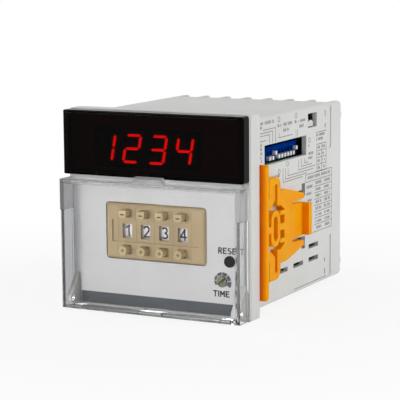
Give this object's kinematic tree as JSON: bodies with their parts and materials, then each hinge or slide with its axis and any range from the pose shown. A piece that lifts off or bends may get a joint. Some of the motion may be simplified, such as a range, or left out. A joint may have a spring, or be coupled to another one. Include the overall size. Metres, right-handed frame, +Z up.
{
  "type": "panel counter",
  "caption": "Square panel-mount preset counter with a red digit display, thumbwheel switches behind a hinged clear cover, rear screw terminals and clip-on mounting brackets.",
  "frame": {"origin": "centre of the panel cut-out, on the plane of the flange's back face", "axes": "+X to the right seen from the front, +Y from the front to the back along the case, +Z up"},
  "size_m": [0.0764, 0.0944, 0.072],
  "materials": {
    "case_grey": "fine moulded texture",
    "screw_steel": "zinc plated",
    "contact_brass": "plated strip",
    "smoked_window": "smoked and polished",
    "digit_black": "moulded",
    "digit_lit": "lit diffuser",
    "digit_dark": "unlit diffuser",
    "board_green": "solder resist",
    "plate_silver": "silver film",
    "switch_tan": "moulded",
    "button_tan": "moulded",
    "wheel_white": "moulded with numbers",
    "button_black": "moulded",
    "switch_black": "moulded",
    "trimmer_blue": "moulded",
    "trimmer_grey": "moulded",
    "transformer_steel": "laminated core",
    "relay_blue": "moulded",
    "capacitor_sleeve": "shrink sleeve",
    "dip_blue": "moulded",
    "slider_white": "moulded",
    "knob_grey": "moulded",
    "bracket_orange": "moulded, semi gloss",
    "clear_plastic": "clear moulded"
  },
  "bodies": {
    "housing": {"case": "case_grey", "terminal_block": "case_grey", "terminal_screws": "screw_steel", "terminal_clamps": "screw_steel", "terminal_contacts": "contact_brass", "front_frame": "case_grey", "display_window": "smoked_window", "digit_modules": "digit_black", "lit_bars": "digit_lit", "unlit_bars": "digit_dark", "display_board": "board_green", "front_plate": "plate_silver", "switch_end_left": "switch_tan", "switch_end_right": "switch_tan", "switch_housing_1": "switch_tan", "switch_housing_2": "switch_tan", "switch_housing_3": "switch_tan", "switch_housing_4": "switch_tan", "reset_switch": "switch_black", "trimmer_body": "trimmer_blue", "control_board": "board_green", "main_board": "board_green", "power_board": "board_green", "transformer": "transformer_steel", "relay": "relay_blue", "capacitors": "capacitor_sleeve", "dip_switch": "dip_blue", "selector_switch": "switch_black"},
    "cover": {"clear_cover": "clear_plastic"},
    "minus_1": {"minus_button_1": "button_tan"},
    "minus_2": {"minus_button_2": "button_tan"},
    "minus_3": {"minus_button_3": "button_tan"},
    "minus_4": {"minus_button_4": "button_tan"},
    "plus_1": {"plus_button_1": "button_tan"},
    "plus_2": {"plus_button_2": "button_tan"},
    "plus_3": {"plus_button_3": "button_tan"},
    "plus_4": {"plus_button_4": "button_tan"},
    "wheel_1": {"number_wheel_1": "wheel_white"},
    "wheel_2": {"number_wheel_2": "wheel_white"},
    "wheel_3": {"number_wheel_3": "wheel_white"},
    "wheel_4": {"number_wheel_4": "wheel_white"},
    "reset": {"reset_button": "button_black"},
    "trimmer": {"trimmer_shaft": "trimmer_grey"},
    "dip_1": {"dip_slider_1": "slider_white"},
    "dip_2": {"dip_slider_2": "slider_white"},
    "dip_3": {"dip_slider_3": "slider_white"},
    "dip_4": {"dip_slider_4": "slider_white"},
    "dip_5": {"dip_slider_5": "slider_white"},
    "dip_6": {"dip_slider_6": "slider_white"},
    "dip_7": {"dip_slider_7": "slider_white"},
    "dip_8": {"dip_slider_8": "slider_white"},
    "dip_9": {"dip_slider_9": "slider_white"},
    "dip_10": {"dip_slider_10": "slider_white"},
    "selector": {"selector_knob": "knob_grey"},
    "bracket_right": {"bracket_right": "bracket_orange"},
    "bracket_left": {"bracket_left": "bracket_orange"}
  },
  "joints": [
    {"name": "cover_hinge", "type": "hinge", "parent": "housing", "child": "cover", "pos_m": [0, -0.0133, -0.0322], "axis": [1, 0, 0], "range_deg": [0, 90]},
    {"name": "minus_press_1", "type": "slide", "parent": "housing", "child": "minus_1", "axis": [0, 1, 0], "range_m": [0, 0.0012], "stiffness_N_per_m": 300},
    {"name": "minus_press_2", "type": "slide", "parent": "housing", "child": "minus_2", "axis": [0, 1, 0], "range_m": [0, 0.0012], "stiffness_N_per_m": 300},
    {"name": "minus_press_3", "type": "slide", "parent": "housing", "child": "minus_3", "axis": [0, 1, 0], "range_m": [0, 0.0012], "stiffness_N_per_m": 300},
    {"name": "minus_press_4", "type": "slide", "parent": "housing", "child": "minus_4", "axis": [0, 1, 0], "range_m": [0, 0.0012], "stiffness_N_per_m": 300},
    {"name": "plus_press_1", "type": "slide", "parent": "housing", "child": "plus_1", "axis": [0, 1, 0], "range_m": [0, 0.0012], "stiffness_N_per_m": 300},
    {"name": "plus_press_2", "type": "slide", "parent": "housing", "child": "plus_2", "axis": [0, 1, 0], "range_m": [0, 0.0012], "stiffness_N_per_m": 300},
    {"name": "plus_press_3", "type": "slide", "parent": "housing", "child": "plus_3", "axis": [0, 1, 0], "range_m": [0, 0.0012], "stiffness_N_per_m": 300},
    {"name": "plus_press_4", "type": "slide", "parent": "housing", "child": "plus_4", "axis": [0, 1, 0], "range_m": [0, 0.0012], "stiffness_N_per_m": 300},
    {"name": "wheel_turn_1", "type": "hinge", "parent": "housing", "child": "wheel_1", "pos_m": [-0.01145, -0.0005, -0.0069], "axis": [1, 0, 0], "continuous": true},
    {"name": "wheel_turn_2", "type": "hinge", "parent": "housing", "child": "wheel_2", "pos_m": [-0.00409, -0.0005, -0.0069], "axis": [1, 0, 0], "continuous": true},
    {"name": "wheel_turn_3", "type": "hinge", "parent": "housing", "child": "wheel_3", "pos_m": [0.00329, -0.0005, -0.0069], "axis": [1, 0, 0], "continuous": true},
    {"name": "wheel_turn_4", "type": "hinge", "parent": "housing", "child": "wheel_4", "pos_m": [0.01065, -0.0005, -0.0069], "axis": [1, 0, 0], "continuous": true},
    {"name": "reset_press", "type": "slide", "parent": "housing", "child": "reset", "axis": [0, 1, 0], "range_m": [0, 0.0008], "stiffness_N_per_m": 400},
    {"name": "trimmer_turn", "type": "hinge", "parent": "housing", "child": "trimmer", "pos_m": [0.0259, -0.008, -0.022], "axis": [0, 1, 0], "range_deg": [-135, 135]},
    {"name": "dip_slide_1", "type": "slide", "parent": "housing", "child": "dip_1", "axis": [0, 0, 1], "range_m": [0, 0.0016]},
    {"name": "dip_slide_2", "type": "slide", "parent": "housing", "child": "dip_2", "axis": [0, 0, 1], "range_m": [0, 0.0016]},
    {"name": "dip_slide_3", "type": "slide", "parent": "housing", "child": "dip_3", "axis": [0, 0, 1], "range_m": [-0.0016, 0]},
    {"name": "dip_slide_4", "type": "slide", "parent": "housing", "child": "dip_4", "axis": [0, 0, 1], "range_m": [0, 0.0016]},
    {"name": "dip_slide_5", "type": "slide", "parent": "housing", "child": "dip_5", "axis": [0, 0, 1], "range_m": [0, 0.0016]},
    {"name": "dip_slide_6", "type": "slide", "parent": "housing", "child": "dip_6", "axis": [0, 0, 1], "range_m": [0, 0.0016]},
    {"name": "dip_slide_7", "type": "slide", "parent": "housing", "child": "dip_7", "axis": [0, 0, 1], "range_m": [0, 0.0016]},
    {"name": "dip_slide_8", "type": "slide", "parent": "housing", "child": "dip_8", "axis": [0, 0, 1], "range_m": [0, 0.0016]},
    {"name": "dip_slide_9", "type": "slide", "parent": "housing", "child": "dip_9", "axis": [0, 0, 1], "range_m": [0, 0.0016]},
    {"name": "dip_slide_10", "type": "slide", "parent": "housing", "child": "dip_10", "axis": [0, 0, 1], "range_m": [-0.0016, 0]},
    {"name": "selector_slide", "type": "slide", "parent": "housing", "child": "selector", "axis": [0, 0, 1], "range_m": [0, 0.0022]},
    {"name": "bracket_slide_right", "type": "slide", "parent": "housing", "child": "bracket_right", "axis": [0, 1, 0], "range_m": [0, 0.0068]},
    {"name": "bracket_slide_left", "type": "slide", "parent": "housing", "child": "bracket_left", "axis": [0, 1, 0], "range_m": [0, 0.0068]}
  ]
}
